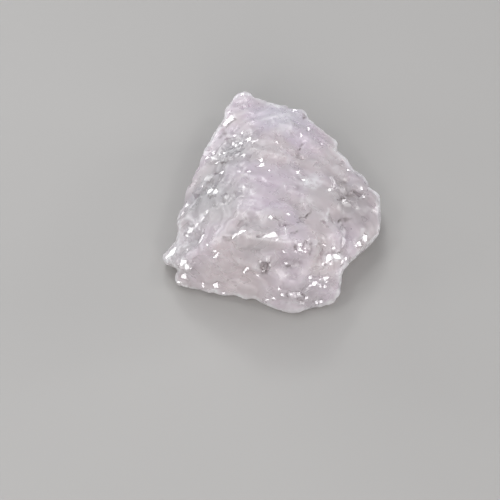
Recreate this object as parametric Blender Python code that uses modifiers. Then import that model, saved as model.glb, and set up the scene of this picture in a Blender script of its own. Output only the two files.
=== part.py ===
"""A rough morganite: one broken chunk of pale pink beryl, lying on its flattest cleavage face.

The chunk is drawn from its outline, seen from the front and from 50 degrees above the table. The sight
lines through that outline make a tapering column, fracture planes cut the column down to a block, and
hollows, pits and grooves are cut into the block. The skin is then broken up into conchoidal dishes that
meet in sharp ridges, with stepped ledges across them, and thinned to flat facets.
"""

import math

import bmesh
import bpy
from mathutils import Matrix, Vector, noise

MM = 0.001

# Where the outline is drawn from: the angle above the table, and the distance of the eye from the stone
SIGHT_ANGLE = math.radians(50.0)
EYE_DISTANCE = 300.0
COLUMN_HALF_LENGTH = 30.0

# The outline in millimetres, (across, up), clockwise from the top peak
OUTLINE = [
    (-4.6, 16.7), (-3.3, 16.2), (-2.1, 15.4), (-0.6, 15.0), (0.6, 14.5), (3.2, 14.7), (4.6, 14.1),
    (5.2, 12.7), (6.9, 11.5), (8.9, 10.2), (9.6, 9.1), (9.3, 8.2), (10.8, 6.9), (11.7, 5.4),
    (13.5, 4.2), (14.9, 2.2), (16.0, 1.3), (16.1, -1.4), (16.3, -3.2), (15.9, -4.7), (14.1, -6.3),
    (12.0, -8.4), (10.7, -9.8), (10.4, -11.1), (10.2, -13.4), (9.5, -14.6), (7.8, -15.3),
    (5.4, -15.9), (3.0, -16.5), (1.2, -16.2), (-0.9, -15.3), (-2.6, -14.2), (-3.6, -14.6),
    (-5.1, -14.0), (-7.2, -14.0), (-8.6, -13.2), (-10.1, -13.3), (-12.3, -12.9), (-14.2, -12.5),
    (-14.5, -11.4), (-13.9, -10.2), (-14.4, -9.7), (-15.9, -9.4), (-16.4, -8.6), (-15.7, -7.2),
    (-14.4, -6.2), (-13.9, -3.9), (-14.3, -2.7), (-13.9, -0.5), (-13.3, 1.8), (-12.0, 4.7),
    (-10.5, 7.5), (-8.7, 10.5), (-7.4, 12.6), (-7.5, 13.8), (-6.3, 15.4), (-5.3, 16.5),
]

# Fracture planes on the seen side, each through three points: (across, up) in the outline's view, and
# the height above the table
SEEN_PLANES = {
    "crown": [(-3.0, 12.0, 10.6), (3.0, 12.0, 10.4), (0.5, -4.5, 14.0)],
    "crown right": [(2.0, 11.0, 10.7), (9.0, 8.0, 7.8), (3.5, -4.5, 13.6)],
    "left slope": [(-5.0, 12.0, 10.0), (-5.5, -4.5, 13.4), (-13.9, -1.0, 6.0)],
    "left shoulder": [(-7.2, 12.0, 8.0), (-3.5, 11.0, 10.7), (-8.5, 2.0, 10.2)],
    "right slope": [(6.0, 12.0, 8.6), (7.0, -5.0, 12.2), (15.8, 0.0, 5.0)],
    "back slope": [(-4.0, 12.5, 10.4), (4.0, 12.0, 10.0), (-1.0, 15.5, 8.6)],
    "front face": [(-14.0, -13.4, 0.0), (-2.0, -15.8, 0.0), (-6.0, -4.9, 13.2)],
    "front right face": [(2.0, -17.6, 0.0), (9.5, -16.0, 0.0), (6.0, -6.0, 12.8)],
    "right flank": [(9.0, -3.6, 11.4), (15.9, -4.7, 4.6), (10.8, -9.6, 5.6)],
    "left cheek": [(-8.5, -2.5, 11.0), (-10.5, -7.0, 9.6), (-14.2, -3.0, 4.4)],
}

# Steep faces below the rim that shows as the outline: two spots of the rim, (across, up, height), and how
# far the face leans in below it, in millimetres for each millimetre of depth. They stand out by RIM_SPARE,
# which the outline trims
RIM_SPARE = 0.9
RIM_FACES = {
    "back": ((-5.3, 16.5, 8.2), (5.0, 14.7, 8.4), 0.12),
    "back right": ((5.2, 12.7, 8.4), (9.6, 9.1, 7.0), 0.20),
    "right back": ((10.8, 6.9, 6.6), (16.0, 1.3, 4.8), -0.10),
    "right": ((16.1, 1.0, 4.8), (16.3, -3.6, 4.6), 0.45),
    "left back": ((-13.9, 1.8, 6.2), (-7.9, 12.6, 8.0), 0.02),
    "left": ((-16.4, -8.6, 3.0), (-14.3, -2.0, 5.2), 0.30),
}

# The undersides of the edges that don't reach the table: a point in millimetres and the way each looks
FEET = {
    "back foot": ((-1.0, 16.0, 1.4), (-0.20, 0.70, -0.68)),
    "back right foot": ((9.2, 8.6, 1.2), (0.55, 0.40, -0.74)),
    "right foot": ((14.4, -2.0, 1.4), (0.80, -0.10, -0.58)),
    "left foot": ((-15.2, -13.6, 1.2), (-0.80, -0.10, -0.60)),
    "back left foot": ((-11.2, 4.4, 1.2), (-0.66, 0.25, -0.71)),
}

# Hollows that faceted balls cut away: (across, up, height of the middle), then across, up and depth radii
HOLLOWS = {
    "pit": ((-1.2, -9.9, 6.6), (0.9, 0.8, 1.3)),
    "front hollow": ((2.9, -10.2, 8.6), (2.9, 2.2, 1.0)),
    "low hollow": ((3.8, -13.2, 3.6), (2.6, 1.4, 0.9)),
    "right hollow": ((11.6, -1.6, 9.7), (3.0, 3.6, 1.5)),
    "right pit": ((10.6, 1.8, 9.3), (1.0, 0.7, 0.9)),
    "left hollow": ((-8.6, 3.0, 11.0), (2.2, 1.5, 1.2)),
    "left dish": ((-4.8, -1.0, 14.4), (3.4, 3.8, 1.5)),
    "shoulder dish": ((-4.4, 8.0, 12.9), (3.8, 2.0, 1.2)),
    "crown dish": ((4.6, 2.0, 13.7), (3.6, 2.8, 1.4)),
    "back dish": ((2.4, 10.0, 12.6), (3.4, 2.0, 1.3)),
    "knuckle": ((5.0, -6.2, 14.2), (2.4, 1.2, 1.0)),
    "flank nick": ((9.6, -8.0, 9.2), (2.6, 1.2, 1.2)),
    "cheek hollow": ((-12.6, -5.6, 7.6), (1.9, 1.1, 1.6)),
    "knob groove": ((-13.8, -9.4, 3.4), (0.5, 1.6, 2.6)),
}

# The skin before its outline is trimmed: size of a dish, its depth, and where its pattern starts
DISHES = [(8.6, 1.35, 3.1), (3.9, 0.62, 17.7)]
DISH_BEND = 0.7
DISH_BEND_SIZE = 4.0
DISH_BEND_SEED = 5
ROUGH_SPREAD = 1.045

# The skin after that: small dishes, and ledges across them
CHIP_SIZE = 1.9
CHIP_DEPTH = 0.22
CHIP_START = 41.3
LEDGE_PITCH = 3.4
LEDGE_HEIGHT = 0.34
LEDGE_WAY = (0.52, -0.35, 0.78)
LEDGE_TREAD = 0.84

REST_DEPTH = 0.9
SKIN_VOXEL = 0.34
SOFTEN_ROUNDS = 2
FACETS = 8600

STONE_COLOUR = (0.80, 0.71, 0.75, 1.0)
STONE_ROUGHNESS = 0.22


def clear_scene():
    for old in list(bpy.data.objects):
        bpy.data.objects.remove(old)


def collection(name):
    made = bpy.data.collections.new(name)
    bpy.context.scene.collection.children.link(made)
    return made


def sight_axes():
    """The outline's own axes in the stone's frame: across, up the picture, and towards the eye."""
    sine, cosine = math.sin(SIGHT_ANGLE), math.cos(SIGHT_ANGLE)
    return Vector((1, 0, 0)), Vector((0, sine, cosine)), Vector((0, -cosine, sine))


def along_sight(across, up, height):
    """The point at this height above the table that shows at (across, up) in the outline's view."""
    sideways, upward, towards = sight_axes()
    near = (height - up * upward.z) / towards.z
    for _ in range(4):
        share = 1 - near / EYE_DISTANCE
        near = (height - up * share * upward.z) / towards.z
    share = 1 - near / EYE_DISTANCE
    return (sideways * across + upward * up) * share + towards * near


def outline_column(name, spread, into):
    """A closed column whose sides are the sight lines through the outline, spread by this much."""
    curve = bpy.data.curves.new("outline", "CURVE")
    curve.dimensions = "2D"
    curve.fill_mode = "BOTH"
    curve.extrude = COLUMN_HALF_LENGTH
    spline = curve.splines.new("POLY")
    spline.points.add(len(OUTLINE) - 1)
    for point, (across, up) in zip(spline.points, OUTLINE):
        point.co = (across * spread, up * spread, 0.0, 1.0)
    spline.use_cyclic_u = True
    drawn = bpy.data.objects.new("outline_curve", curve)
    into.objects.link(drawn)
    graph = bpy.context.evaluated_depsgraph_get()
    mesh = bpy.data.meshes.new_from_object(drawn.evaluated_get(graph))
    bpy.data.objects.remove(drawn)
    shape = bmesh.new()
    shape.from_mesh(mesh)
    bmesh.ops.remove_doubles(shape, verts=shape.verts, dist=1e-4)
    sideways, upward, towards = sight_axes()
    for vert in shape.verts:
        share = 1 - vert.co.z / EYE_DISTANCE
        vert.co = (sideways * vert.co.x + upward * vert.co.y) * share + towards * vert.co.z
    bmesh.ops.recalc_face_normals(shape, faces=shape.faces)
    shape.to_mesh(mesh)
    shape.free()
    column = bpy.data.objects.new(name, mesh)
    into.objects.link(column)
    column.hide_render = True
    column.display_type = "WIRE"
    return column


def cut(shape, point, normal):
    """Slices off all that lies beyond the plane, and closes the wound with one flat face."""
    geometry = shape.verts[:] + shape.edges[:] + shape.faces[:]
    done = bmesh.ops.bisect_plane(
        shape, geom=geometry, dist=1e-4, plane_co=point, plane_no=normal, clear_outer=True
    )
    rim = [item for item in done["geom_cut"] if isinstance(item, bmesh.types.BMEdge)]
    if rim:
        bmesh.ops.contextual_create(shape, geom=rim)


def fracture_block(into):
    """A cube broken along every fracture plane, standing on its cleavage face."""
    shape = bmesh.new()
    side = 2 * COLUMN_HALF_LENGTH - 4
    bmesh.ops.create_cube(shape, size=side)
    cut(shape, Vector((0, 0, 0)), Vector((0, 0, -1)))
    centre = along_sight(0.0, -1.0, 5.0)
    for spots in SEEN_PLANES.values():
        first, second, third = [along_sight(*spot) for spot in spots]
        normal = (second - first).cross(third - first).normalized()
        if normal.dot(first - centre) < 0:
            normal.negate()
        cut(shape, first, normal)
    for start, end, lean in RIM_FACES.values():
        first, second = along_sight(*start), along_sight(*end)
        outward = Vector((first.y - second.y, second.x - first.x, 0)).normalized()
        downward = -outward * lean - Vector((0, 0, 1))
        normal = (second - first).cross(downward).normalized()
        cut(shape, first + outward * RIM_SPARE, normal)
    for point, looks in FEET.values():
        cut(shape, Vector(point), Vector(looks).normalized())
    bmesh.ops.recalc_face_normals(shape, faces=shape.faces)
    mesh = bpy.data.meshes.new("block")
    shape.to_mesh(mesh)
    shape.free()
    block = bpy.data.objects.new("morganite", mesh)
    into.objects.link(block)
    return block


def hollow_cutter(name, spot, radii, into):
    """A faceted ball, flattened along the line of sight, that cuts one hollow."""
    sideways, upward, towards = sight_axes()
    shape = bmesh.new()
    bmesh.ops.create_icosphere(shape, subdivisions=2, radius=1.0)
    place = Matrix((sideways, upward, towards)).transposed().to_4x4()
    place.translation = along_sight(*spot)
    bmesh.ops.transform(shape, matrix=place @ Matrix.Diagonal((*radii, 1.0)), verts=shape.verts)
    mesh = bpy.data.meshes.new(name)
    shape.to_mesh(mesh)
    shape.free()
    cutter = bpy.data.objects.new(name.replace(" ", "_") + "_cutter", mesh)
    into.objects.link(cutter)
    cutter.hide_render = True
    cutter.display_type = "WIRE"
    return cutter


def add_boolean(body, cutter, operation):
    step = body.modifiers.new(cutter.name, "BOOLEAN")
    step.operation = operation
    step.solver = "EXACT"
    step.object = cutter


def add_voxel_skin(body):
    """One even skin over all that the Booleans leave, with the voxels' steps softened."""
    skin = body.modifiers.new("skin", "REMESH")
    skin.mode = "VOXEL"
    skin.voxel_size = SKIN_VOXEL
    soften = body.modifiers.new("soften", "SMOOTH")
    soften.factor = 0.5
    soften.iterations = SOFTEN_ROUNDS


def bake_modifiers(body):
    """Replaces the body's mesh with what its modifiers make of it."""
    graph = bpy.context.evaluated_depsgraph_get()
    finished = bpy.data.meshes.new_from_object(body.evaluated_get(graph))
    body.modifiers.clear()
    body.data = finished


def dish(place, size, start):
    """0 in the middle of a conchoidal dish, rising to a sharp ridge where two dishes meet."""
    where = place / size + Vector((start, start * 0.7, start * 1.3))
    distances, _ = noise.voronoi(where, distance_metric="DISTANCE_SQUARED")
    return distances[0]


def ledge(place):
    """A saw-toothed rise: long gentle treads, each ending in a short step."""
    bend = 1.6 * noise.noise(place / 5.0) + 0.5 * noise.noise(place / 1.7)
    turn = place.dot(Vector(LEDGE_WAY)) / LEDGE_PITCH + bend
    tread = turn - math.floor(turn)
    if tread < LEDGE_TREAD:
        return tread
    return (1 - tread) * LEDGE_TREAD / (1 - LEDGE_TREAD)


def dished(place):
    """How far the conchoidal dishes raise or lower the plain block at this place, in millimetres."""
    bent = place + DISH_BEND * noise.noise_vector(place / DISH_BEND_SIZE)
    return sum(depth * (dish(bent, size, start) - 0.3) for size, depth, start in DISHES)


def chipped(place):
    """How far the small chips and ledges raise or lower the dished skin at this place, in millimetres."""
    return CHIP_DEPTH * (dish(place, CHIP_SIZE, CHIP_START) - 0.3) + LEDGE_HEIGHT * (ledge(place) - 0.5)


def break_up_skin(body, height_at):
    """Moves each point of the skin in or out, fading to nothing where the stone rests."""
    mesh = body.data
    places = [vert.co.copy() for vert in mesh.vertices]
    normals = [Vector(vert.normal) for vert in mesh.vertices]
    for vert, place, normal in zip(mesh.vertices, places, normals):
        clear_of_rest = min(max(place.z / REST_DEPTH, 0.0), 1.0)
        moved = place + normal * height_at(place) * clear_of_rest
        moved.z = max(moved.z, 0.0)
        vert.co = moved
    mesh.update()


def thin_to_facets(body):
    """Leaves about FACETS triangles: many on ridges, few on flat ground."""
    bare = sum(len(face.vertices) - 2 for face in body.data.polygons)
    step = body.modifiers.new("facets", "DECIMATE")
    step.decimate_type = "COLLAPSE"
    step.use_collapse_triangulate = True
    step.ratio = FACETS / bare
    bake_modifiers(body)


def flatten_rest(body):
    """Sets the points that nearly touch the table exactly on it."""
    for vert in body.data.vertices:
        if vert.co.z < 0.06:
            vert.co.z = 0.0


def stand_on_origin(body):
    """Millimetres to metres, with the origin below the middle of the stone's box."""
    corners = [vert.co for vert in body.data.vertices]
    middle_x = (min(c.x for c in corners) + max(c.x for c in corners)) / 2
    middle_y = (min(c.y for c in corners) + max(c.y for c in corners)) / 2
    to_origin = Matrix.Translation((-middle_x, -middle_y, 0))
    body.data.transform(Matrix.Scale(MM, 4) @ to_origin)


def stone_material():
    material = bpy.data.materials.new("morganite")
    material.use_nodes = True
    surface = material.node_tree.nodes["Principled BSDF"]
    surface.inputs["Base Color"].default_value = STONE_COLOUR
    surface.inputs["Roughness"].default_value = STONE_ROUGHNESS
    surface.inputs["Metallic"].default_value = 0.0
    return material


def build():
    clear_scene()
    noise.seed_set(DISH_BEND_SEED)
    stones = collection("rough_morganite")
    cutters = collection("cutters")
    stone = fracture_block(stones)
    add_boolean(stone, outline_column("rough_column", ROUGH_SPREAD, cutters), "INTERSECT")
    for name, (spot, radii) in HOLLOWS.items():
        add_boolean(stone, hollow_cutter(name, spot, radii, cutters), "DIFFERENCE")
    add_voxel_skin(stone)
    bake_modifiers(stone)
    break_up_skin(stone, dished)
    add_voxel_skin(stone)
    add_boolean(stone, outline_column("outline_column", 1.0, cutters), "INTERSECT")
    add_voxel_skin(stone)
    bake_modifiers(stone)
    break_up_skin(stone, chipped)
    thin_to_facets(stone)
    flatten_rest(stone)
    stand_on_origin(stone)
    stone.data.materials.append(stone_material())
    for helper in list(cutters.objects):
        bpy.data.objects.remove(helper)
    bpy.data.collections.remove(cutters)


build()
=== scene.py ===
import math
import random

import bpy
import numpy as np
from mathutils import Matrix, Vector, bvhtree, kdtree, noise


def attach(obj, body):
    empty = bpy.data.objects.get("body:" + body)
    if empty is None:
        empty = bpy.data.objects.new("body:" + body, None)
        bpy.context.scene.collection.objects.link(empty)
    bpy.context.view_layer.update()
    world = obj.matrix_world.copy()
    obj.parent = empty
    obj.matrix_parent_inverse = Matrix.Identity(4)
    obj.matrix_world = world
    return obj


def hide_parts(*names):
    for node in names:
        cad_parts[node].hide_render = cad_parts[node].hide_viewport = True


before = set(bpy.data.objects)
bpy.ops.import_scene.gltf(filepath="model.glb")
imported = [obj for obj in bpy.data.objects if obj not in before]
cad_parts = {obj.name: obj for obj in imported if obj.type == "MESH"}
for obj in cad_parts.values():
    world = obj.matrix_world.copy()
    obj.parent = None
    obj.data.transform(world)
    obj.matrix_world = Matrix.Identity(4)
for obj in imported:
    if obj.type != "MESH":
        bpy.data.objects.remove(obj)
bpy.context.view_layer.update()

# A millimetre in metres, the middle of a random colour, and what the noise starts from
MM = 0.001
HALF = (0.5, 0.5, 0.5)
NOISE_SEED = 3

# How the outline was drawn, in the stone's frame: the point that the eye looks at, the angle above the
# table, the distance of the eye, and how often a line of sight is worked out again
OUTLINE_ORIGIN = Vector((-0.07, 2.77, 0.0)) * MM
SIGHT_ANGLE = math.radians(50.0)
EYE_DISTANCE = 300 * MM
SIGHT_ROUNDS = 4

# The photograph: its side in pixels, the pixel where the outline's origin shows, and the size of a pixel
PHOTO_SIDE = 500
ORIGIN_PIXEL = (272, 203)
PIXEL = 0.15 * MM

# The cosine of the angle to the eye from which the skin counts as fully seen
FULLY_SEEN = 0.35

# The skin: how near its corners are merged, the voxels it is remade from, the band above the rest that
# stays calm, the band that is laid flat, its number of triangles, and the angle from which an edge is sharp
MERGE_WITHIN = 1e-6
SKIN_VOXEL = 0.12 * MM
REST_BAND = 0.8 * MM
FLAT_BAND = 0.06 * MM
FACETS = 190000
SHARP_EDGE = math.radians(13.0)

# The skin's smoothing: its factor, its rounds all over, on the worn front and where the front is worn
# smooth, and the least share that a vertex group takes in
SMOOTHING = 0.5
SOFTEN_ROUNDS = 5
WEAR_ROUNDS = 40
POLISH_ROUNDS = 160
LEAST_SHARE = 0.01

# Conchoidal dishes: their size, their depth and the vertex group that they are carved in. Then the level
# of the untouched skin in them, and how much calmer the rough sides are where they are seen
DISHES = [
    (4.3 * MM, 0.34 * MM, "clear_of_rest"),
    (2.1 * MM, 0.12 * MM, "rough_sides"),
    (0.8 * MM, 0.15 * MM, "crushed"),
]
DISH_LEVEL = 0.3
ROUGH_SIDES_CALM = 0.75

# Fine ledges: the way they climb, pitch and height, the patches that have them, their waves, and the share
# of them that the seen side loses
LEDGE_WAY = Vector((0.62, -0.52, 0.59))
LEDGE_PITCH = 1.7 * MM
LEDGE_HEIGHT = 0.10 * MM
LEDGE_PATCH = 3.4 * MM
LEDGE_PATCH_AT = Vector((7, 3, 1))
LEDGE_START = 0.14
LEDGE_RISE = 0.2
LEDGE_WAVE = 0.9
LEDGE_WAVE_SIZE = 2.6 * MM
LEDGE_CALM = 0.7

# Parts crushed at random: the sizes of their noise in millimetres, where they start and how fast they
# rise, and the share of them that the seen side loses
CRUSH_SIZE = 4.5
CRUSH_FINE_SIZE = 1.9
CRUSH_FINE_SHARE = 0.5
CRUSH_START = 0.30
CRUSH_RISE = 0.35
CRUSH_CALM = 0.85

# Chips: how deep they sit by their width, their growth, the least half width in pixels, their corners, how
# far a corner may turn, the width of their edges, how far from their middle they reach along and across the
# skin, and how fresh a face must be to be shaded flat
CHIP_SEED = 11
CHIP_SINK = 0.12
CHIP_GROWTH = 1.15
SMALLEST_CHIP = 1.6
CHIP_CORNERS = (3, 4, 4, 5)
CORNER_PLAY = 0.2
CHIP_EDGE = 0.2
CHIP_REACH = 1.8
CHIP_HEIGHT = 1.2
FRESH_ENOUGH = 0.98

# Loose chips: their number, where they are cast from in millimetres, the cosine from which they lie on the
# seen side, the share that is spared there, their tilt, half length in millimetres and width by length, and
# how many pixels they keep off the outline
LOOSE_CHIPS = 420
CAST_SPREAD = 9
CAST_HEIGHT = 5
CAST_FROM = 60
SEEN_FROM = 0.3
SPARED = 0.7
LOOSE_TILT = (0.1, 0.45)
LOOSE_SEEN = (0.25, 0.75)
LOOSE_LEAST = 0.35
LOOSE_MORE = 1.3
LOOSE_WIDTH = (0.4, 0.9)
OUTLINE_GAP = 4

# Chips in the crushed parts: how many for each pixel of half width, how far they stray, half length and
# half width in pixels, and how far they turn from a lamp
ZONE_CHIPS = 0.7
ZONE_STRAY = 0.4
ZONE_LENGTH = (1.6, 2.8)
ZONE_WIDTH = (1.1, 1.7)
ZONE_JITTER = 0.12

# How ragged painted places are, painted shade and highlights among them: the size and reach of their wobble,
# the size of the angular patches in them, the least share that a patch keeps, and how much the shaded pits and
# worn places are filled out
RAG_SIZE = 0.7 * MM
RAG_PIXELS = 2.2
BROKEN_SIZE = 0.55 * MM
BROKEN_SPREAD = 9.0
MILK_HIGHLIGHT_KEEPS = 0.55
LIT_RIM_KEEPS = 0.6
PIT_SHADE_KEEPS = 0.7
PIT_SHADE_GAIN = 1.5
WORN_GAIN = 2

# Where the outline stands out a little more than the block's: pixel across and down, how far to the right
# and down, and the reach, all in pixels
NUDGES = [(186, 189, -5.0, 0.5, 26), (303, 109, 2.0, -3.5, 10), (244, 94, 1.5, -2.0, 12)]

# Clean chips that sparkle: pixel across and down, half length and half width in pixels, turn in degrees
CHIPS = [
    (226, 121.2, 7.5, 3.4, 42), (227.5, 112.5, 2.4, 1.7, 50), (240, 94.5, 2.2, 1.4, 45),
    (247, 139.5, 3.0, 2.6, 20), (252, 141.5, 2.3, 1.7, 10), (239.5, 143.3, 2.3, 1.6, 0),
    (240.5, 133, 2.5, 1.3, 50), (233, 136, 2.1, 1.4, 70), (231, 144, 1.9, 1.5, 0),
    (234.5, 145.3, 1.7, 1.5, 0), (242, 155.3, 2.6, 1.9, 10), (259.5, 159.5, 2.5, 2.0, 0),
    (260, 165, 3.3, 1.9, 40), (205.5, 158, 3.2, 1.4, 25), (212, 153.5, 2.3, 1.3, 40),
    (218, 155.5, 1.5, 1.2, 0), (222.5, 153.5, 1.6, 1.4, 0), (216, 163, 2.4, 1.5, 20),
    (221, 172.7, 2.6, 1.5, 10), (238, 171.5, 2.1, 1.6, 0), (248, 171.5, 2.2, 1.3, 0),
    (268.5, 170.3, 2.0, 1.2, 0), (297, 171.5, 2.6, 1.7, 35), (302.5, 179, 1.5, 1.2, 0),
    (209, 191.5, 3.8, 3.0, 40), (214.5, 192, 2.8, 3.0, 80), (243, 187.3, 2.1, 1.3, 0),
    (225, 197, 1.6, 1.2, 0), (201.5, 187.5, 1.3, 1.3, 0), (187, 206, 2.8, 1.4, -15),
    (182, 214.5, 2.3, 1.2, 80), (206, 213, 3.0, 1.5, 55), (202.5, 219, 2.7, 1.5, 50),
    (196, 225.5, 2.7, 1.5, 40), (190, 231, 4.2, 2.8, 35), (187.5, 237, 1.8, 1.7, 0),
    (201.5, 239, 4.4, 1.5, 75), (207, 245, 1.6, 1.6, 0), (187, 250.5, 1.5, 1.3, 0),
    (240, 232.3, 3.4, 1.7, 10), (234, 236, 3.0, 1.1, 35), (270, 234.8, 6.6, 2.2, 5),
    (277, 239.5, 1.6, 1.3, 0), (270, 216.7, 2.2, 2.0, 0), (287.5, 213.5, 1.9, 1.5, 0),
    (216.5, 256, 4.2, 1.5, 42), (215, 252, 2.0, 1.5, 0), (172.5, 253, 5.2, 2.8, 50),
    (183, 263, 2.8, 2.4, 20), (187, 268, 3.0, 2.5, 80), (184, 277.5, 3.0, 2.6, 10), (179, 283, 2.1, 1.4, 0),
    (203.5, 286, 3.2, 1.5, 90), (216.5, 286, 3.0, 2.6, 70), (224, 293.5, 1.8, 1.2, 0),
    (247, 269, 3.4, 1.6, 50), (260.5, 262, 1.4, 1.2, 0), (258, 275.5, 1.6, 1.2, 0), (286, 263, 1.8, 1.4, 0),
    (269, 265, 1.6, 1.3, 0), (266.5, 267.5, 1.5, 1.2, 40), (280, 288.5, 1.8, 1.4, 90),
    (282.5, 294.5, 1.9, 1.7, 0), (274.5, 298, 1.6, 1.3, 0), (267, 299.5, 1.6, 1.4, 0),
    (300, 244.5, 2.3, 2.0, 90), (299.5, 249, 2.7, 1.8, 0), (296, 251, 1.5, 1.2, 0), (305, 251, 1.4, 1.2, 0),
    (284, 251.5, 2.2, 1.1, -20), (324, 243.5, 1.8, 1.5, 0), (334, 247, 2.7, 1.2, 5),
    (330, 256, 4.2, 3.0, 30), (337, 255.5, 4.6, 2.2, 5), (331, 262.5, 1.8, 1.1, 0),
    (323, 263.5, 1.6, 1.2, 50), (342.5, 260.5, 2.7, 1.3, 50), (346, 257.5, 2.4, 1.0, 40),
    (361.5, 241, 7.0, 2.6, 30), (365, 236, 3.6, 3.0, 70), (356, 244.5, 1.8, 1.4, 0),
    (311, 277, 1.9, 1.8, 0), (315, 282.5, 3.1, 2.4, 45), (320.5, 283.8, 1.9, 1.6, 0),
    (326, 277, 3.2, 1.1, 5), (326.5, 281, 2.1, 1.3, 0), (325.5, 285.5, 2.0, 1.2, 0),
    (310.5, 285, 1.8, 1.3, 80), (299.5, 293.8, 1.9, 1.8, 0), (307.5, 297.3, 1.6, 1.4, 0),
    (292, 293.8, 1.4, 1.2, 0), (317, 302, 2.0, 1.3, 20), (322, 300.5, 2.3, 1.2, 15),
    (328.5, 188.5, 1.9, 1.8, 0), (343, 199.8, 2.5, 1.3, 50), (346.5, 168.5, 1.5, 1.5, 0),
    (360.5, 187, 1.7, 1.4, 80), (363, 195, 2.0, 1.5, 70), (300, 135, 1.6, 1.4, 80),
    (307, 128, 2.0, 1.6, 80), (292.5, 109.5, 2.4, 1.4, 0),
]

# Milky stone and painted highlights (glint halos, crown sheen, bright edges), as brush strokes: pixels along
# the stroke, half width in pixels, strength
MILKY_AND_HIGHLIGHTS = [
    ([(307, 182), (316, 179)], 11.0, 1.0), ([(277, 117), (286, 118)], 7.0, 0.75),
    ([(280, 126), (284, 130)], 11, 0.3), ([(240, 96), (250, 98)], 4.0, 0.35),
    ([(328, 208), (325, 222)], 2.4, 0.55), ([(318, 211), (322, 213)], 3.5, 0.4),
    ([(264, 208), (282, 204)], 3.5, 0.35), ([(261, 206), (263, 214)], 2.4, 0.5),
    ([(186, 218), (191, 224)], 4.0, 0.4), ([(356, 243), (366, 234)], 5.0, 0.5),
    ([(330, 288), (336, 292)], 5.0, 0.4), ([(348, 184), (353, 183)], 3.0, 0.4),
    ([(341, 170), (341, 178)], 1.9, 0.7), ([(316, 240), (316, 246)], 2.0, 0.5),
    ([(256, 128), (262, 128)], 3.0, 0.3), ([(269, 127), (271, 121)], 3.0, 0.35),
    ([(297, 172), (303, 180)], 3.5, 0.4), ([(244, 139), (234, 145)], 4.5, 0.3),
    ([(213, 152), (223, 155)], 3.5, 0.35), ([(208, 192), (216, 192)], 5.0, 0.45),
    ([(186, 233), (192, 229)], 5.0, 0.5), ([(168, 262), (171, 254), (178, 248)], 9.0, 1.0),
    ([(182, 263), (187, 270)], 6.0, 0.9), ([(262, 235), (274, 235)], 3.5, 0.5),
    ([(284, 231), (287, 235)], 3.5, 0.35), ([(327, 257), (340, 255)], 5.5, 1.0),
    ([(300, 244), (299, 250)], 3.5, 0.5), ([(311, 279), (326, 283)], 6.0, 0.3),
    ([(282, 302), (302, 302)], 2.5, 0.4), ([(376, 196), (377, 206)], 2.5, 0.5),
    ([(223, 123), (232, 117)], 4.0, 0.6), ([(198, 223), (207, 211)], 2.5, 0.35),
    ([(262, 263), (268, 265)], 2.0, 0.3), ([(219, 253), (214, 258)], 3.0, 0.3),
    ([(306, 262), (312, 258)], 3.0, 0.2), ([(358, 198), (363, 192)], 3.0, 0.4),
]

# The stone's outline in pixels, along which a thin bright rim is painted as a painted highlight, and its half
# width in pixels. It is thinner where the skin turns away from the eye, and ends a little behind the outline
LIT_RIM_OUTLINE = [
    (241, 92), (250, 95), (258, 100), (268, 103), (276, 106), (293, 105), (303, 109), (307, 118),
    (318, 126), (331, 135), (336, 142), (334, 148), (344, 157), (350, 167), (362, 175), (371, 188),
    (379, 194), (379, 212), (381, 224), (378, 234), (366, 245), (352, 259), (343, 268), (341, 277),
    (340, 292), (335, 300), (324, 305), (308, 309), (292, 313), (280, 311), (266, 305), (255, 298),
    (248, 300), (238, 296), (224, 296), (215, 291), (205, 292), (190, 289), (177, 286), (175, 279),
    (179, 271), (176, 268), (166, 266), (163, 260), (167, 251), (176, 244), (179, 229), (177, 221),
    (179, 206), (183, 191), (192, 172), (202, 153), (214, 133), (223, 119), (222, 111), (230, 100),
    (237, 93), (241, 92),
]
LIT_RIM_WIDTH = 4.0
LIT_RIM_FULL_WIDTH = 0.4
LIT_RIM_THINNEST = 0.3
LIT_RIM_BEHIND = 0.15
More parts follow.
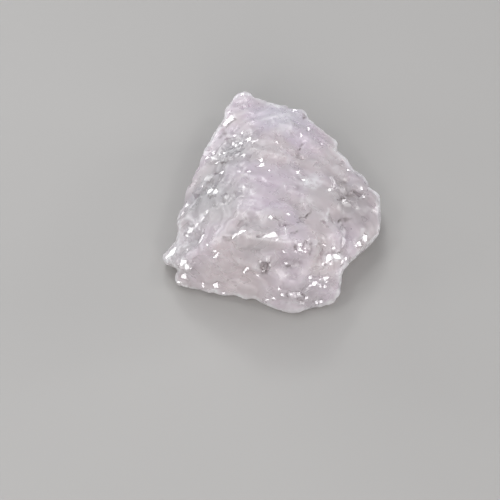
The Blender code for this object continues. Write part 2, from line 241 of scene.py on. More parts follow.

# Pits and cracks, darkened with painted shade, and soft painted shadows in hollows: pixels along the stroke,
# half width in pixels, strength of the shade, depth in millimetres. The least share of its depth that each
# angular patch of a pit keeps follows them
SHADED_PITS = [
    ([(219, 164), (229, 162.5)], 1.8, 0.8, 0.16), ([(222, 131), (225, 136)], 2.6, 0.5, 0.12),
    ([(225, 128), (234, 118)], 1.7, 0.5, 0.14), ([(217, 138), (221, 136)], 1.8, 0.4, 0.08),
    ([(297, 149), (301, 144)], 1.6, 0.9, 0.18), ([(293, 157), (298, 154)], 2.4, 0.4, 0.08),
    ([(282, 154), (286, 154)], 2.4, 0.3, 0.06), ([(289, 130), (290, 132)], 1.8, 0.35, 0.06),
    ([(301, 113), (302.5, 118)], 2.0, 0.8, 0.14), ([(339, 184), (344, 181)], 3.0, 0.65, 0.20),
    ([(338, 198.5), (344, 197)], 2.2, 1.0, 0.36), ([(339, 219), (350, 218)], 2.8, 0.85, 0.20),
    ([(348, 193), (356, 191)], 3.8, 0.4, 0.14), ([(341, 224), (343, 226)], 2.4, 0.3, 0.08),
    ([(207, 184), (203, 192)], 2.4, 0.6, 0.20), ([(208, 196), (214, 196.5)], 1.4, 0.55, 0.14),
    ([(213, 174), (219, 175)], 3.0, 0.35, 0.10), ([(210, 182), (214, 181)], 5.0, 0.35, 0.10),
    ([(235, 192), (236, 195)], 2.3, 0.5, 0.12), ([(273, 216), (279, 220), (286, 226)], 1.6, 0.55, 0.14),
    ([(299, 222), (301, 216), (306, 215), (311, 210)], 1.8, 0.75, 0.22),
    ([(290.5, 232), (296.5, 231.5)], 1.8, 0.8, 0.2), ([(295, 244), (296, 248)], 2.2, 0.6, 0.2),
    ([(306, 240), (304, 244)], 1.5, 0.9, 0.25), ([(311, 243), (310, 253)], 2.6, 0.6, 0.25),
    ([(224, 239), (233, 238)], 3.4, 0.7, 0.22), ([(184.5, 234), (184, 236)], 1.6, 0.8, 0.2),
    ([(183, 249), (180, 256)], 1.6, 0.55, 0.2), ([(176, 256), (179, 254)], 1.4, 0.5, 0.12),
    ([(263, 262.5), (269, 261.5)], 2.4, 0.9, 0.25), ([(262, 266), (265, 271)], 4.8, 0.95, 0.40),
    ([(270, 265), (270, 268)], 1.6, 0.5, 0.15), ([(287.5, 265), (291, 267)], 2.8, 0.8, 0.24),
    ([(288, 266), (298, 264)], 7.5, 0.36, 0.08), ([(290, 276), (296, 277)], 6.0, 0.22, 0.10),
    ([(256, 250), (258, 249)], 2.0, 0.35, 0.08), ([(287, 293), (289, 297)], 1.6, 0.6, 0.14),
    ([(299, 299), (303, 299)], 2.0, 0.7, 0.18), ([(303, 294), (305, 296)], 1.4, 0.6, 0.12),
    ([(228, 281), (233, 278)], 1.4, 0.5, 0.12), ([(232, 283), (237, 283)], 1.4, 0.5, 0.12),
    ([(332, 251), (342, 251)], 1.6, 0.6, 0.18), ([(325, 266), (329, 260)], 1.5, 0.6, 0.16),
    ([(341, 264), (343, 263)], 1.5, 0.6, 0.14), ([(320, 242), (321, 248)], 1.5, 0.5, 0.14),
    ([(364, 232), (366, 234)], 1.6, 0.5, 0.12), ([(329, 213), (328, 219)], 1.5, 0.5, 0.16),
    ([(239, 175), (246, 178)], 1.5, 0.35, 0.08), ([(322, 253), (325, 254)], 2.2, 0.35, 0.10),
    ([(297, 186), (297, 188)], 1.6, 0.3, 0.06), ([(299, 203), (302, 202)], 1.6, 0.3, 0.06),
]
PIT_KEEPS = 0.25

# Where the stone is crushed into small glassy chips, as strokes: pixels, half width in pixels
CRUSHED = [
    ([(222, 150), (246, 136)], 9.0), ([(208, 158), (225, 158)], 7.0), ([(184, 236), (192, 229)], 7.0),
    ([(174, 254), (186, 268)], 8.0), ([(292, 246), (312, 246)], 11.0), ([(322, 252), (342, 256)], 10.0),
    ([(308, 280), (328, 280)], 9.0), ([(283, 294), (305, 297)], 8.0), ([(262, 266), (268, 268)], 7.0),
    ([(336, 184), (346, 198)], 8.0), ([(208, 190), (214, 190)], 7.0),
]

# Where the front is worn smooth, as strokes: pixels, half width in pixels
WORN = [([(288, 266), (302, 264)], 15.0)]

# Colours of the beryl, and of the light and shade painted on it
PINK = (0.69, 0.615, 0.63, 1.0)
LILAC = (0.68, 0.595, 0.665, 1.0)
# A painted sheen: the pale bluish reflection of the light on the crown
PALE_SHEEN = (0.69, 0.665, 0.735, 1.0)
GREY = (0.555, 0.535, 0.54, 1.0)
# Darker tones that are partly painted shade, in grey to the left, in mauve to the right and in hollows
ASH_SHADE = (0.44, 0.425, 0.435, 1.0)
MAUVE_SHADE = (0.44, 0.395, 0.40, 1.0)
# White for milky veils, seams and crushed parts, and for painted highlights and the painted bright rim
MILK_AND_HIGHLIGHT_WHITE = (0.98, 0.965, 0.98, 1.0)
# Dark for stains, and for painted shade in pits and cracks
STAIN_AND_SHADE_DARK = (0.20, 0.16, 0.16, 1.0)

# Where a colour is strongest: colour, strength, pixel across and down, height and reach in millimetres.
# The pale sheen is a painted reflection, and the ash and mauve places are partly painted shade
TINTS = [
    (PINK, 0.8, 235, 270, 3.0, 15.0),
    (LILAC, 0.9, 270, 190, 11.0, 7.0),
    (PALE_SHEEN, 0.9, 280, 118, 9.0, 7.0),
    (LILAC, 0.5, 240, 104, 8.0, 5.0),
    (GREY, 0.6, 306, 200, 9.0, 5.0),
    (GREY, 0.75, 238, 208, 10.0, 5.5),
    (GREY, 0.6, 308, 246, 6.0, 5.0),
    (ASH_SHADE, 1.0, 208, 200, 8.0, 9.3),
    (ASH_SHADE, 0.85, 230, 152, 10.0, 7.0),
    (ASH_SHADE, 0.7, 188, 256, 5.0, 6.0),
    (ASH_SHADE, 0.5, 258, 236, 13.0, 6.0),
    (MAUVE_SHADE, 1.0, 348, 212, 5.5, 9.3),
    (MAUVE_SHADE, 0.8, 298, 266, 5.5, 3.2),
    (MAUVE_SHADE, 0.55, 289, 281, 4.0, 3.2),
    (GREY, 0.6, 306, 288, 3.0, 6.0),
]

# Patterns in the beryl: their sizes in millimetres, and the noise values where they start and are full
CLOUD_SIZE, CLOUDS = 7.0, (0.38, 0.64)
FRACTURE_SIZE, FRACTURES = 2.3, (0.25, 0.9)
WARP_SIZE, WARP_REACH = 1.8, 1.8
SEAM_SIZE, SEAMS = 2.4, (0.48, 0.64)
SEAM_WIDTH = 0.04
VEIL_SIZE, VEILS = 2.6, (0.50, 0.74)
STAIN_SIZE, STAINS = 0.9, (0.64, 0.74)
STAINED_SIZE, STAINED = 5.0, (0.45, 0.6)
FLAKED_SIZE, FLAKED = 2.6, (0.50, 0.68)
LARGE_FLAKE, SMALL_FLAKE = 1.5, 0.42
GRAIN_SIZE = 0.45
GLOSS_SIZE, GLOSS = 1.9, (0.40, 0.62)

# How much each of them shows: as colour, as tilt of the surface and as bump
FRACTURE_GREY = 0.22
SEAM_MILK = 0.22
VEIL_MILK = 0.20
CRUSHED_MILK = 0.08
STAIN_SMOKE = 0.25
LARGE_TILT, LEAST_TILT = 0.10, 0.01
CRUSHED_TILT, SMALL_TILT = 0.34, 0.04
GRAIN_STRENGTH, GRAIN_DEPTH = 0.12, 0.05 * MM

# The finish: roughness, and how much of it fresh chips and crushed parts lose; then the glassy body
LEAST_ROUGH, MORE_ROUGH = 0.26, 0.18
CHIP_POLISH, CRUSHED_POLISH = 0.8, 0.4
BERYL_BODY = {
    "IOR": 1.58,
    "Transmission Weight": 0.35,
    "Subsurface Weight": 0.8,
    "Subsurface Radius": (1.0, 1.0, 1.0),
    "Subsurface Scale": 3.0 * MM,
}
BERYL_DEPTH = {"Color": (0.95, 0.85, 0.88, 1.0), "Density": 30.0}

# The floor: its side in metres, its mottle in millimetres, its two colours and its roughness
FLOOR_SIDE = 3.0
FLOOR_MOTTLE = 60.0
FLOOR_DARKER = (0.315, 0.307, 0.295, 1.0)
FLOOR_PALER = (0.335, 0.327, 0.315, 1.0)
FLOOR_ROUGH = 0.55

# Soft lamps: azimuth and elevation as seen from the front, distance, side, watts and colour
SOFTBOXES = {
    "window": (200, 62, 0.50, 0.34, 0.66, (0.95, 0.97, 1.0)),
    "lit_rim": (215, 16, 0.50, 0.20, 0.45, (1.0, 1.0, 1.0)),
    "side": (285, 14, 0.50, 0.20, 0.35, (1.0, 1.0, 1.0)),
    "other_side": (98, 12, 0.50, 0.20, 0.52, (1.0, 1.0, 1.0)),
    "fill": (5, 26, 0.60, 0.45, 2.50, (1.0, 0.98, 0.96)),
}

# Small lamps that the chips mirror: azimuth and elevation, then the distance, side, watts and colour of all
SPARKLES = {
    "sparkle_left": (300, 52),
    "sparkle_back": (195, 48),
    "sparkle_right": (75, 55),
    "sparkle_top": (240, 80),
    "sparkle_front": (335, 30),
    "sparkle_low_left": (238, 16),
    "sparkle_low_right": (112, 20),
}
SPARKLE_LAMP = (0.45, 0.075, 0.21, (1.0, 1.0, 1.0))

# The point that all lamps face, and the even light of the studio
LAMP_CENTRE = Vector((0, 0, 0.006))
STUDIO_COLOUR = (0.90, 0.92, 1.0, 1.0)
STUDIO_STRENGTH = 0.38

# The camera: the width of its sensor in millimetres, and the nearest that it sees in metres
SENSOR_WIDTH = 36.0
CLIP_START = 0.01

# The photograph's axes in the stone's frame, and its eye
sight_across = Vector((1, 0, 0))
sight_up = Vector((0, math.sin(SIGHT_ANGLE), math.cos(SIGHT_ANGLE)))
sight_towards = Vector((0, -math.cos(SIGHT_ANGLE), math.sin(SIGHT_ANGLE)))
eye = OUTLINE_ORIGIN + sight_towards * EYE_DISTANCE


def lamp_way(azimuth, elevation):
    """The way from the stone to a lamp at this azimuth and elevation."""
    turn, rise = math.radians(azimuth), math.radians(elevation)
    return Vector((math.sin(turn) * math.cos(rise), -math.cos(turn) * math.cos(rise), math.sin(rise)))


SPARKLE_WAYS = [lamp_way(azimuth, elevation) for azimuth, elevation in SPARKLES.values()]


class Wire:
    """A node's output that adds, takes away and multiplies like a number."""

    def __init__(self, bench, socket):
        self.bench = bench
        self.socket = socket

    def worked(self, operation, first, second):
        """A Math node on two numbers or wires."""
        return self.bench.add("ShaderNodeMath", {"operation": operation}, {0: first, 1: second})

    def __add__(self, other):
        return self.worked("ADD", self, other)

    __radd__ = __add__

    def __sub__(self, other):
        return self.worked("SUBTRACT", self, other)

    def __rsub__(self, other):
        return self.worked("SUBTRACT", other, self)

    def __mul__(self, other):
        return self.worked("MULTIPLY", self, other)

    __rmul__ = __mul__


class Bench:
    """Lays out the nodes of one material."""

    def __init__(self, name):
        self.material = bpy.data.materials.new(name)
        self.material.use_nodes = True
        self.tree = self.material.node_tree
        self.tree.nodes.clear()

    def add(self, kind, settings=None, inputs=None, output=0):
        """One node: its settings first, then the values or wires of its sockets."""
        node = self.tree.nodes.new(kind)
        for name, value in (settings or {}).items():
            setattr(node, name, value)
        for name, value in (inputs or {}).items():
            if isinstance(value, Wire):
                self.tree.links.new(value.socket, node.inputs[name])
            else:
                node.inputs[name].default_value = value
        return Wire(self, node.outputs[output]) if node.outputs else None

    def place(self):
        """The point on the piece, in millimetres."""
        return self.scaled(self.add("ShaderNodeTexCoord", output="Object"), 1 / MM)

    def painted(self, name):
        """A share painted on the piece."""
        return self.add("ShaderNodeAttribute", {"attribute_name": name}, output="Fac")

    def noise(self, place, size, detail=3.0, roughness=0.5, bend=0.0, output="Fac"):
        """Cloudy noise with clouds of this size in millimetres."""
        inputs = {"Vector": place, "Scale": 1 / size, "Detail": detail}
        inputs.update({"Roughness": roughness, "Distortion": bend})
        return self.add("ShaderNodeTexNoise", {"normalize": True}, inputs, output)

    def cells(self, place, size, output="Distance", feature="F1"):
        """A Voronoi pattern with cells of this size in millimetres."""
        inputs = {"Vector": place, "Scale": 1 / size}
        return self.add("ShaderNodeTexVoronoi", {"feature": feature}, inputs, output)

    def between(self, value, low, high):
        """0 at low, 1 at high, eased between them."""
        settings = {"interpolation_type": "SMOOTHSTEP", "clamp": True}
        return self.add("ShaderNodeMapRange", settings, {"Value": value, "From Min": low, "From Max": high})

    def near(self, place, spot, reach):
        """1 at the spot, fading to 0 at this reach, both in millimetres."""
        away = self.add("ShaderNodeVectorMath", {"operation": "DISTANCE"}, {0: place, 1: spot}, "Value")
        return self.between(away, reach, 0.0)

    def blend(self, factor, first, second):
        """A mix of two colours. A Mix node's colours are its sockets 6 and 7, and its colour output is 2."""
        settings = {"data_type": "RGBA", "clamp_factor": True}
        return self.add("ShaderNodeMix", settings, {0: factor, 6: first, 7: second}, 2)

    def vector(self, operation, first, second=(0.0, 0.0, 0.0)):
        """A Vector Math node on one or two vectors."""
        return self.add("ShaderNodeVectorMath", {"operation": operation}, {0: first, 1: second})

    def scaled(self, vector, factor):
        """A vector made this many times as long."""
        return self.add("ShaderNodeVectorMath", {"operation": "SCALE"}, {0: vector, "Scale": factor})

    def finish(self, surface, **volume):
        """Wires the shader, and the volume where there is one, to the material's end."""
        self.add("ShaderNodeOutputMaterial", inputs={"Surface": surface, **volume})
        return self.material


def outline_point(px, py):
    """The point of the plane of the outline that shows at this pixel of the photograph."""
    across = (px - ORIGIN_PIXEL[0]) * PIXEL
    up = (ORIGIN_PIXEL[1] - py) * PIXEL
    return OUTLINE_ORIGIN + sight_across * across + sight_up * up


def seen_at(px, py, height):
    """The point at this height in millimetres above the table that shows at this pixel of the photograph."""
    across = (px - ORIGIN_PIXEL[0]) * PIXEL
    up = (ORIGIN_PIXEL[1] - py) * PIXEL
    near = (height * MM - up * sight_up.z) / sight_towards.z
    for _ in range(SIGHT_ROUNDS):
        share = 1 - near / EYE_DISTANCE
        near = (height * MM - up * share * sight_up.z) / sight_towards.z
    share = 1 - near / EYE_DISTANCE
    return OUTLINE_ORIGIN + (sight_across * across + sight_up * up) * share + sight_towards * near


def shown_pixels(places):
    """The pixels of the photograph at which these places show."""
    from_origin = places - np.array(OUTLINE_ORIGIN)
    share = EYE_DISTANCE / (EYE_DISTANCE - from_origin @ np.array(sight_towards))
    across = from_origin @ np.array(sight_across) * share / PIXEL
    up = from_origin @ np.array(sight_up) * share / PIXEL
    return np.stack([ORIGIN_PIXEL[0] + across, ORIGIN_PIXEL[1] - up], axis=1)


def every_vertex(piece, what):
    """The places or normals of all vertices, one row each."""
    values = np.empty(3 * len(piece.data.vertices))
    piece.data.vertices.foreach_get(what, values)
    return values.reshape(-1, 3)


def move_vertices(piece, places):
    """Moves all vertices to these places."""
    piece.data.vertices.foreach_set("co", places.ravel())
    piece.data.update()


def paint(piece, name, shares):
    """Keeps a share for each vertex where the material can read it."""
    layer = piece.data.attributes.new(name, "FLOAT", "POINT")
    layer.data.foreach_set("value", shares.astype(np.float32))


def group_by(piece, name, shares):
    """A vertex group with these shares, for the modifiers."""
    group = piece.vertex_groups.new(name=name)
    for index, share in enumerate(shares):
        if share > LEAST_SHARE:
            group.add([index], float(share), "REPLACE")


def only(piece):
    """Selects this piece alone."""
    bpy.ops.object.select_all(action="DESELECT")
    piece.select_set(True)
    bpy.context.view_layer.objects.active = piece


def apply_all(piece):
    """Applies the piece's modifiers in their order."""
    only(piece)
    for step in list(piece.modifiers):
        bpy.ops.object.modifier_apply(modifier=step.name)


def eased(share):
    """A share from 0 to 1 with soft ends."""
    return share * share * (3 - 2 * share)


def brushed(pixels, stroke, width):
    """How much a stroke of this half width covers each vertex, from 0 to 1."""
    nearest = np.full(len(pixels), np.inf)
    for start, end in zip(stroke, stroke[1:]):
        start, end = np.array(start, float), np.array(end, float)
        run = end - start
        along = np.clip((pixels - start) @ run / (run @ run), 0, 1)
        away = pixels - start - along[:, None] * run
        nearest = np.minimum(nearest, np.hypot(away[:, 0], away[:, 1]))
    return eased(np.clip(1 - nearest / width, 0, 1))


def seen_skin(piece):
    """Each vertex as the photograph shows it: its pixel made a little ragged, how fully it is seen, its
    pixel, and the cosine of its angle to the eye."""
    places, normals = every_vertex(piece, "co"), every_vertex(piece, "normal")
    wobble = [noise.noise_vector(Vector(place) / RAG_SIZE) for place in places]
    pixels = shown_pixels(places)
    to_eye = np.array(eye) - places
    to_eye /= np.linalg.norm(to_eye, axis=1)[:, None]
    towards = np.sum(normals * to_eye, axis=1)
    ragged = pixels + np.array(wobble)[:, :2] * RAG_PIXELS
    return ragged, np.clip(towards / FULLY_SEEN, 0, 1), pixels, towards


def rest_shares(piece):
    """0 on the face that the stone rests on, 1 from a little above it."""
    return np.clip(every_vertex(piece, "co")[:, 2] / REST_BAND, 0, 1)


def broken_shares(piece):
    """A random share for each small angular patch of the skin, so that nothing painted runs on smoothly."""
    shares = []
    for place in every_vertex(piece, "co") / BROKEN_SIZE:
        nearest = noise.voronoi(Vector(place))[1][0]
        shares.append(noise.cell(nearest * BROKEN_SPREAD))
    return np.array(shares)


def crushed_shares(piece, pixels, facing):
    """How finely the stone is crushed at each vertex, from 0 to 1."""
    wild = []
    for place in every_vertex(piece, "co") / MM:
        coarse = noise.noise(Vector(place) / CRUSH_SIZE)
        wild.append(coarse + CRUSH_FINE_SHARE * noise.noise(Vector(place) / CRUSH_FINE_SIZE))
    shares = np.clip((np.array(wild) - CRUSH_START) / CRUSH_RISE, 0, 1) * (1 - CRUSH_CALM * facing)
    for stroke, width in CRUSHED:
        shares = np.maximum(shares, brushed(pixels, stroke, width) * facing)
    return shares


def worn_shares(pixels):
    """How smooth the front is worn at each vertex, from 0 to 1."""
    shares = np.zeros(len(pixels))
    for stroke, width in WORN:
        shares = np.maximum(shares, np.minimum(brushed(pixels, stroke, width) * WORN_GAIN, 1))
    return shares


def milk_and_highlight_shares(pixels, facing):
    """How milky the skin is at each vertex, with its painted highlights, from 0 to 1."""
    shares = np.zeros(len(pixels))
    for stroke, width, strength in MILKY_AND_HIGHLIGHTS:
        shares = np.maximum(shares, brushed(pixels, stroke, width) * facing * strength)
    return shares


def pit_shade_shares(pixels, facing):
    """How much painted shade lies in the pits and cracks at each vertex, from 0 to 1."""
    shares = np.zeros(len(pixels))
    for stroke, width, strength, _ in SHADED_PITS:
        covered = np.minimum(brushed(pixels, stroke, width) * PIT_SHADE_GAIN, 1)
        shares = np.maximum(shares, covered * facing * strength)
    return shares


def lit_rim_shares(pixels, towards):
    """How much of the painted bright rim, a painted highlight along the outline, lies on each vertex, from 0
    to 1.
    """
    width = LIT_RIM_WIDTH * np.clip(towards / LIT_RIM_FULL_WIDTH, LIT_RIM_THINNEST, 1)
    return brushed(pixels, LIT_RIM_OUTLINE, width) * np.clip((towards + LIT_RIM_BEHIND) / LIT_RIM_BEHIND, 0, 1)


def kept_in_patches(least, broken):
    """The share of what is painted that each angular patch keeps."""
    return least + (1 - least) * broken


def nudge_outline(piece):
    """Moves the skin out where the outline stands out more than the block's."""
    places = every_vertex(piece, "co")
    pixels = shown_pixels(places)
    for px, py, right, down, reach in NUDGES:
        share = eased(np.clip(1 - np.hypot(pixels[:, 0] - px, pixels[:, 1] - py) / reach, 0, 1))
        share = share * rest_shares(piece)
        places += share[:, None] * np.array(sight_across * right - sight_up * down) * PIXEL
    move_vertices(piece, places)


def carve_dishes(piece, size, depth, group):
    """Breaks the skin into conchoidal dishes that meet in sharp ridges."""
    pattern = bpy.data.textures.new("dishes", "VORONOI")
    pattern.distance_metric = "DISTANCE_SQUARED"
    pattern.noise_scale = size
    step = piece.modifiers.new("dishes", "DISPLACE")
    step.texture = pattern
    step.texture_coords = "LOCAL"
    step.mid_level = DISH_LEVEL
    step.strength = depth
    step.vertex_group = group


def smooth_skin(piece, name, rounds, group=""):
    """Smooths the skin this many times, where the group says."""
    step = piece.modifiers.new(name, "SMOOTH")
    step.factor = SMOOTHING
    step.iterations = rounds
    step.vertex_group = group


def raise_ledges(piece, facing):
    """Fine steps in patches of the skin, where the fracture jumped from layer to layer."""
    way = LEDGE_WAY.normalized()
    places = every_vertex(piece, "co")
    steps = np.zeros(len(places))
    for index, place in enumerate(places):
        point = Vector(place)
        patchy = noise.noise(point / LEDGE_PATCH + LEDGE_PATCH_AT)
        share = min(max((patchy - LEDGE_START) / LEDGE_RISE, 0.0), 1.0)
        share *= min(max(point.z / REST_BAND - 1, 0.0), 1.0)
        if share > 0:
            along = point.dot(way) / LEDGE_PITCH + LEDGE_WAVE * noise.noise(point / LEDGE_WAVE_SIZE)
            steps[index] = (along % 1.0 - 0.5) * share * LEDGE_HEIGHT * (1 - LEDGE_CALM * facing[index])
    move_vertices(piece, places + every_vertex(piece, "normal") * steps[:, None])


def sink_pits(piece, pixels, facing):
    """Presses the pits and cracks, which are also darkened with painted shade, into the skin."""
    depths = np.zeros(len(pixels))
    for stroke, width, _, depth in SHADED_PITS:
        depths = np.maximum(depths, brushed(pixels, stroke, width) * facing * depth * MM)
    move_vertices(piece, every_vertex(piece, "co") - every_vertex(piece, "normal") * depths[:, None])


class ChipHammer:
    """Strikes flat chips off a piece's skin and marks them as fresh."""

    def __init__(self, piece):
        bpy.context.view_layer.update()
        self.skin = bvhtree.BVHTree.FromObject(piece, bpy.context.evaluated_depsgraph_get())
        self.places = every_vertex(piece, "co")
        self.fresh = np.zeros(len(self.places))
        self.kd = kdtree.KDTree(len(self.places))
        for index, place in enumerate(self.places):
            self.kd.insert(place, index)
        self.kd.balance()
        self.draw = random.Random(CHIP_SEED)

    def any_way(self):
        """A random direction."""
        return Vector([self.draw.gauss(0, 1) for _ in range(3)]).normalized()

    def strike(self, hit, normal, facing, run, long, wide):
        """One chip with 3 to 5 corners, flat across this facing, with its long side along run."""
        corners = self.draw.choice(CHIP_CORNERS)
        first = self.draw.uniform(0, math.tau)
        sides = []
        for k in range(corners):
            sides.append(first + math.tau * (k + self.draw.uniform(-CORNER_PLAY, CORNER_PLAY)) / corners)
        run = (run - facing * run.dot(facing)).normalized()
        side = facing.cross(run)
        middle = hit - normal * CHIP_SINK * wide
        if middle.z < REST_BAND / 2:
            return
        for _, index, _ in self.kd.find_range(middle, CHIP_REACH * long):
            away = Vector(self.places[index]) - middle
            u, v = away.dot(run) / long, away.dot(side) / wide
            off = max(u * math.cos(side_at) + v * math.sin(side_at) for side_at in sides)
            share = min(max((1.0 - off) / CHIP_EDGE, 0.0), 1.0)
            if share > 0.0 and abs(away.dot(facing)) < CHIP_HEIGHT * long:
                self.places[index] -= np.array(facing * (away.dot(facing) * share))
                self.fresh[index] = max(self.fresh[index], share)

    def strike_seen(self, px, py, long, wide, turn, jitter=0.0):
        """A chip at this pixel of the photograph that mirrors a small lamp to the eye."""
        aim = outline_point(px, py)
        hit, normal, _, _ = self.skin.ray_cast(eye, (aim - eye).normalized())
        if hit is None:
            return
        to_eye = (eye - hit).normalized()
        facing = max(((to_eye + lamp).normalized() for lamp in SPARKLE_WAYS), key=normal.dot)
        facing = (facing + self.any_way() * jitter).normalized()
        angle = math.radians(turn)
        run = sight_across * math.cos(angle) + sight_up * math.sin(angle)
        long, wide = max(long * CHIP_GROWTH, SMALLEST_CHIP), max(wide * CHIP_GROWTH, SMALLEST_CHIP)
        self.strike(hit, normal, facing, run, long * PIXEL, wide * PIXEL)


def strike_loose_chips(hammer):
    """Chips all over: few and small ones on the seen side, larger ones elsewhere, but off the outline."""
    draw = hammer.draw
    for _ in range(LOOSE_CHIPS):
        way = hammer.any_way()
        way.z = abs(way.z)
        across, along = draw.uniform(-CAST_SPREAD, CAST_SPREAD), draw.uniform(-CAST_SPREAD, CAST_SPREAD)
        start = Vector((across, along, CAST_HEIGHT)) * MM + way * CAST_FROM * MM
        hit, normal, _, _ = hammer.skin.ray_cast(start, -way)
        seen = hit is not None and normal.dot(sight_towards) > SEEN_FROM
        if hit is None or (seen and draw.random() < SPARED):
            continue
        facing = (normal + hammer.any_way() * draw.uniform(*LOOSE_TILT)).normalized()
        long = (draw.uniform(*LOOSE_SEEN) if seen else LOOSE_LEAST + LOOSE_MORE * draw.random() ** 2) * MM
        if not seen and brushed(shown_pixels(np.array([hit])), LIT_RIM_OUTLINE, long / PIXEL + OUTLINE_GAP)[0] > 0:
            continue
        hammer.strike(hit, normal, facing, hammer.any_way(), long, long * draw.uniform(*LOOSE_WIDTH))


def strike_crushed_chips(hammer):
    """Small chips in the crushed parts, each turned a little from a lamp."""
    draw = hammer.draw
    for stroke, width in CRUSHED:
        (start_x, start_y), (end_x, end_y) = stroke[0], stroke[-1]
        for _ in range(round(ZONE_CHIPS * width)):
            along = draw.random()
            px = start_x + (end_x - start_x) * along + draw.gauss(0, ZONE_STRAY) * width
            py = start_y + (end_y - start_y) * along + draw.gauss(0, ZONE_STRAY) * width
            long, wide, turn = draw.uniform(*ZONE_LENGTH), draw.uniform(*ZONE_WIDTH), draw.uniform(0, 180)
            hammer.strike_seen(px, py, long, wide, turn, ZONE_JITTER)


def strike_chips(piece):
    """Clean flat chips: loose ones all over, small ones in the crushed parts, and those that sparkle."""
    hammer = ChipHammer(piece)
    strike_loose_chips(hammer)
    strike_crushed_chips(hammer)
    for chip in CHIPS:
        hammer.strike_seen(*chip)
    move_vertices(piece, hammer.places)
    paint(piece, "fresh_chip", hammer.fresh)


def flatten_chips(piece):
    """Shades the faces of fresh chips flat, so that each mirrors the light as one plane."""
    fresh = np.empty(len(piece.data.vertices))
    piece.data.attributes["fresh_chip"].data.foreach_get("value", fresh)
    corners = np.empty(len(piece.data.loops), dtype=int)
    piece.data.loops.foreach_get("vertex_index", corners)
    starts = np.empty(len(piece.data.polygons), dtype=int)
    piece.data.polygons.foreach_get("loop_start", starts)
    least_fresh = np.minimum.reduceat(fresh[corners], starts)
    piece.data.polygons.foreach_set("use_smooth", least_fresh < FRESH_ENOUGH)
    piece.data.update()


def lay_flat(piece):
    """Makes the face that the stone rests on flat."""
    places = every_vertex(piece, "co")
    places[places[:, 2] < FLAT_BAND, 2] = 0.0
    move_vertices(piece, places)


def beryl_colour(bench, place, crushed):
    """Pink and lilac clouds with tints, among them a painted sheen and painted shade, paler seams and veils,
    milky places with painted highlights and a painted bright rim, and stains and painted shade in pits and
    cracks.
    """
    clouds = bench.noise(place, CLOUD_SIZE, 3.0, 0.5, 0.4)
    colour = bench.blend(bench.between(clouds, *CLOUDS), PINK, LILAC)
    # Tints by place: the stone's pink, lilac and grey, a painted sheen on the crown, and painted shade in ash
    # and mauve
    for tint, amount, px, py, height, reach in TINTS:
        there = bench.near(place, seen_at(px, py, height) / MM, reach)
        colour = bench.blend(there * amount, colour, tint)

    # Inner fractures: clearer patches, with pale seams between them
    warp = bench.vector("SUBTRACT", bench.noise(place, WARP_SIZE, 2.0, 0.5, output="Color"), HALF)
    warped = bench.vector("ADD", place, bench.scaled(warp, WARP_REACH))
    patch = bench.add("ShaderNodeSeparateColor", inputs={0: bench.cells(warped, FRACTURE_SIZE, "Color")})
    colour = bench.blend(bench.between(patch, *FRACTURES) * FRACTURE_GREY, colour, GREY)
    seams = bench.cells(warped, FRACTURE_SIZE, feature="DISTANCE_TO_EDGE")
    seamed = bench.between(seams, SEAM_WIDTH, 0.0) * bench.between(bench.noise(place, SEAM_SIZE, 2.0), *SEAMS)
    veils = bench.between(bench.noise(place, VEIL_SIZE, 3.0, 0.55, 0.3), *VEILS)
    # Milky veils, seams and crushed parts, with painted highlights and the painted bright rim
    milk_and_highlight_amount = veils * VEIL_MILK + crushed * CRUSHED_MILK + seamed * SEAM_MILK + bench.painted("milk_and_highlight")
    colour = bench.blend(milk_and_highlight_amount, colour, MILK_AND_HIGHLIGHT_WHITE)

    stains = bench.between(bench.noise(place, STAIN_SIZE, 2.0, 0.5, 0.3), *STAINS)
    stained = stains * bench.between(bench.noise(place, STAINED_SIZE, 2.0), *STAINED)
    # Stains, and painted shade in the pits and cracks
    return bench.blend(stained * STAIN_SMOKE + bench.painted("pit_shade"), colour, STAIN_AND_SHADE_DARK)


def flaky_normal(bench, place, crushed, calm):
    """Small facets that tilt at random, most of all in the crushed parts, and a fine grain over them."""
    flaked = bench.between(bench.noise(place, FLAKED_SIZE, 2.0), *FLAKED)
    large = bench.vector("SUBTRACT", bench.cells(place, LARGE_FLAKE, "Color"), HALF)
    small = bench.vector("SUBTRACT", bench.cells(place, SMALL_FLAKE, "Color"), HALF)
    large = bench.scaled(large, calm * (flaked * LARGE_TILT + LEAST_TILT))
    small = bench.scaled(small, calm * (crushed * CRUSHED_TILT + flaked * SMALL_TILT))
    upright = bench.add("ShaderNodeNewGeometry", output="Normal")
    facing = bench.vector("NORMALIZE", bench.vector("ADD", upright, bench.vector("ADD", large, small)))
    grain = bench.noise(place, GRAIN_SIZE, 2.0, 0.5) * calm
    inputs = {"Strength": GRAIN_STRENGTH, "Distance": GRAIN_DEPTH, "Height": grain, "Normal": facing}
    return bench.add("ShaderNodeBump", inputs=inputs)


def beryl_material():
    """Cloudy pale pink beryl: lilac in the middle, painted shade in grey to the left and in mauve to the
    right, a painted sheen and painted highlights, glassy chips.
    """
    bench = Bench("cloudy_pink_beryl")
    place = bench.place()
    fresh, crushed = bench.painted("fresh_chip"), bench.painted("crushed")
    gloss = bench.between(bench.noise(place, GLOSS_SIZE, 2.0, 0.5), *GLOSS)
    roughness = (gloss * MORE_ROUGH + LEAST_ROUGH) * (1 - fresh * CHIP_POLISH) * (1 - crushed * CRUSHED_POLISH)
    inputs = {
        "Base Color": beryl_colour(bench, place, crushed),
        "Roughness": roughness,
        "Normal": flaky_normal(bench, place, crushed, 1 - fresh),
        **BERYL_BODY,
    }
    surface = bench.add("ShaderNodeBsdfPrincipled", inputs=inputs)
    return bench.finish(surface, Volume=bench.add("ShaderNodeVolumeAbsorption", inputs=BERYL_DEPTH))


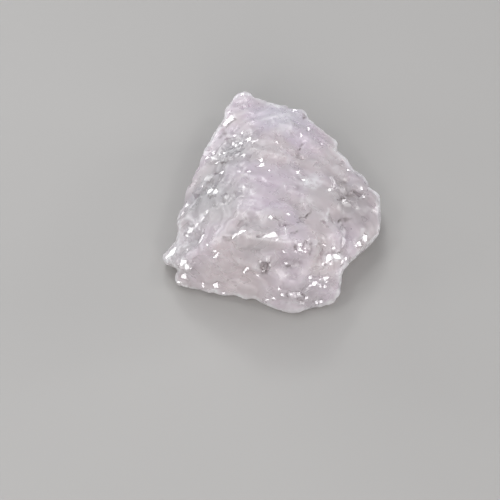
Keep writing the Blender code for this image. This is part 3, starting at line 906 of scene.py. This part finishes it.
def copy_block():
    """A copy of the CAD stone with its triangles merged into one skin."""
    stone = bpy.data.objects.new("rough_morganite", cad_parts["morganite"].data.copy())
    bpy.context.scene.collection.objects.link(stone)
    stone.data.materials.clear()
    only(stone)
    bpy.ops.object.mode_set(mode="EDIT")
    bpy.ops.mesh.select_all(action="SELECT")
    bpy.ops.mesh.remove_doubles(threshold=MERGE_WITHIN)
    bpy.ops.object.mode_set(mode="OBJECT")
    return stone


def break_skin(stone):
    """Gives the block its fine skin: dishes, ledges, pits, cracks and chips."""
    skin = stone.modifiers.new("skin", "REMESH")
    skin.mode = "VOXEL"
    skin.voxel_size = SKIN_VOXEL
    smooth_skin(stone, "soften", SOFTEN_ROUNDS)
    apply_all(stone)

    nudge_outline(stone)
    ragged, facing, _, _ = seen_skin(stone)
    rest = rest_shares(stone)
    crushed = crushed_shares(stone, ragged, facing)
    group_by(stone, "clear_of_rest", rest)
    group_by(stone, "rough_sides", rest * (1 - ROUGH_SIDES_CALM * facing))
    group_by(stone, "worn_front", rest * facing * (1 - crushed))
    group_by(stone, "crushed", rest * crushed)
    group_by(stone, "worn_smooth", rest * facing * worn_shares(ragged))
    smooth_skin(stone, "wear", WEAR_ROUNDS, "worn_front")
    smooth_skin(stone, "polish", POLISH_ROUNDS, "worn_smooth")
    for size, depth, group in DISHES:
        carve_dishes(stone, size, depth, group)
    apply_all(stone)

    raise_ledges(stone, facing)
    sink_pits(stone, ragged, facing * rest * kept_in_patches(PIT_KEEPS, broken_shares(stone)))
    strike_chips(stone)
    thin = stone.modifiers.new("thin", "DECIMATE")
    thin.ratio = FACETS / (2 * len(stone.data.polygons))
    apply_all(stone)
    stone.vertex_groups.clear()


def paint_skin(stone):
    """Paints on the skin where the beryl is crushed and milky, with its painted highlights and bright rim, and
    painted shade in the pits and cracks.
    """
    ragged, facing, pixels, towards = seen_skin(stone)
    broken = broken_shares(stone)
    milk_and_highlight = milk_and_highlight_shares(ragged, facing) * kept_in_patches(MILK_HIGHLIGHT_KEEPS, broken)
    # The painted bright rim, a painted highlight along the outline
    lit_rim = lit_rim_shares(pixels, towards) * kept_in_patches(LIT_RIM_KEEPS, broken)
    paint(stone, "crushed", crushed_shares(stone, ragged, facing))
    paint(stone, "milk_and_highlight", np.maximum(milk_and_highlight, lit_rim))
    paint(stone, "pit_shade", pit_shade_shares(ragged, facing) * kept_in_patches(PIT_SHADE_KEEPS, broken))


def make_stone():
    """The rough stone, in place of its CAD node."""
    stone = copy_block()
    break_skin(stone)
    paint_skin(stone)
    lay_flat(stone)
    only(stone)
    bpy.ops.object.shade_smooth_by_angle(angle=SHARP_EDGE)
    flatten_chips(stone)
    stone.data.materials.append(beryl_material())
    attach(stone, "root")
    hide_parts("morganite")


def floor_material():
    """A plain pale floor with a hardly visible mottle."""
    bench = Bench("pale_floor")
    mottle = bench.noise(bench.place(), FLOOR_MOTTLE, 3.0)
    colour = bench.blend(mottle, FLOOR_DARKER, FLOOR_PALER)
    return bench.finish(
        bench.add("ShaderNodeBsdfPrincipled", inputs={"Base Color": colour, "Roughness": FLOOR_ROUGH})
    )


def make_floor():
    """The floor under the stone, which isn't part of it."""
    bpy.ops.object.select_all(action="DESELECT")
    bpy.ops.mesh.primitive_plane_add(size=FLOOR_SIDE, location=(0, 0, 0))
    floor = bpy.context.object
    floor.name = "floor"
    floor.data.materials.append(floor_material())


def add_softbox(name, azimuth, elevation, distance, side, watts, colour):
    """A square lamp that shines at the stone, from this azimuth and elevation as seen from the front."""
    way = lamp_way(azimuth, elevation)
    lamp = bpy.data.lights.new(name, "AREA")
    lamp.size = side
    lamp.energy = watts
    lamp.color = colour
    holder = bpy.data.objects.new(name, lamp)
    bpy.context.scene.collection.objects.link(holder)
    holder.visible_camera = False
    holder.location = LAMP_CENTRE + way * distance
    holder.rotation_mode = "QUATERNION"
    holder.rotation_quaternion = way.to_track_quat("Z", "Y")


def make_light():
    """Plain soft studio light, and the small lamps that the chips mirror."""
    world = bpy.data.worlds.new("studio")
    world.use_nodes = True
    backdrop = world.node_tree.nodes["Background"]
    backdrop.inputs["Color"].default_value = STUDIO_COLOUR
    backdrop.inputs["Strength"].default_value = STUDIO_STRENGTH
    bpy.context.scene.world = world
    bpy.context.scene.view_settings.view_transform = "Standard"
    for name, lamp in SOFTBOXES.items():
        add_softbox(name, *lamp)
    for name, (azimuth, elevation) in SPARKLES.items():
        add_softbox(name, azimuth, elevation, *SPARKLE_LAMP)


def make_camera():
    """The camera at the photograph's eye, aimed at the photograph's middle."""
    aim = outline_point(PHOTO_SIDE / 2, PHOTO_SIDE / 2)
    lens = bpy.data.cameras.new("camera")
    lens.sensor_width = SENSOR_WIDTH
    lens.lens = SENSOR_WIDTH * EYE_DISTANCE / (PHOTO_SIDE * PIXEL)
    lens.clip_start = CLIP_START
    camera = bpy.data.objects.new("camera", lens)
    bpy.context.scene.collection.objects.link(camera)
    camera.location = eye
    camera.rotation_mode = "QUATERNION"
    camera.rotation_quaternion = (eye - aim).to_track_quat("Z", "Y")
    bpy.context.scene.camera = camera


noise.seed_set(NOISE_SEED)
make_camera()
make_light()
make_floor()
make_stone()
